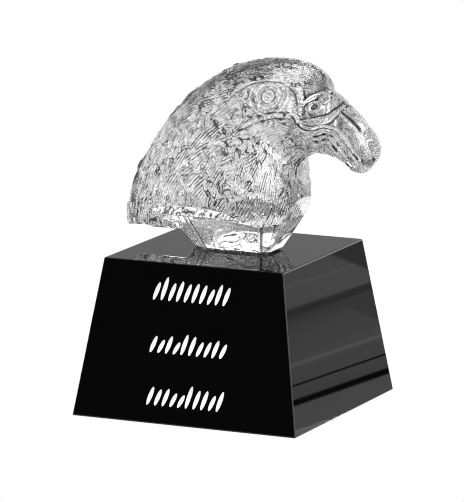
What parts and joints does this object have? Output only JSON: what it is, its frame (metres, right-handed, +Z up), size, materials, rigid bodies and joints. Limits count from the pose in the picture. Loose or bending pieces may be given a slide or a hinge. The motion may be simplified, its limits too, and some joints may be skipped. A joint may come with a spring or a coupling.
{
  "type": "crystal eagle head sculpture",
  "caption": "Clear crystal eagle head with carved feathers and ground facets, on a tapered black crystal plinth with rows of shallow strokes.",
  "frame": {"origin": "centre of the plinth's underside", "axes": "+Z up, +X the way the beak points, -Y the plinth's front face with the rows of strokes"},
  "size_m": [0.1146, 0.0998, 0.1447],
  "materials": {
    "black_crystal": "polished black crystal, opaque, with sandblasted strokes on the front face",
    "crystal": "clear crystal, fire-polished from the mould, its lower facets ground and polished"
  },
  "bodies": {
    "root": {"plinth": "black_crystal", "eagle_head": "crystal"}
  },
  "joints": []
}
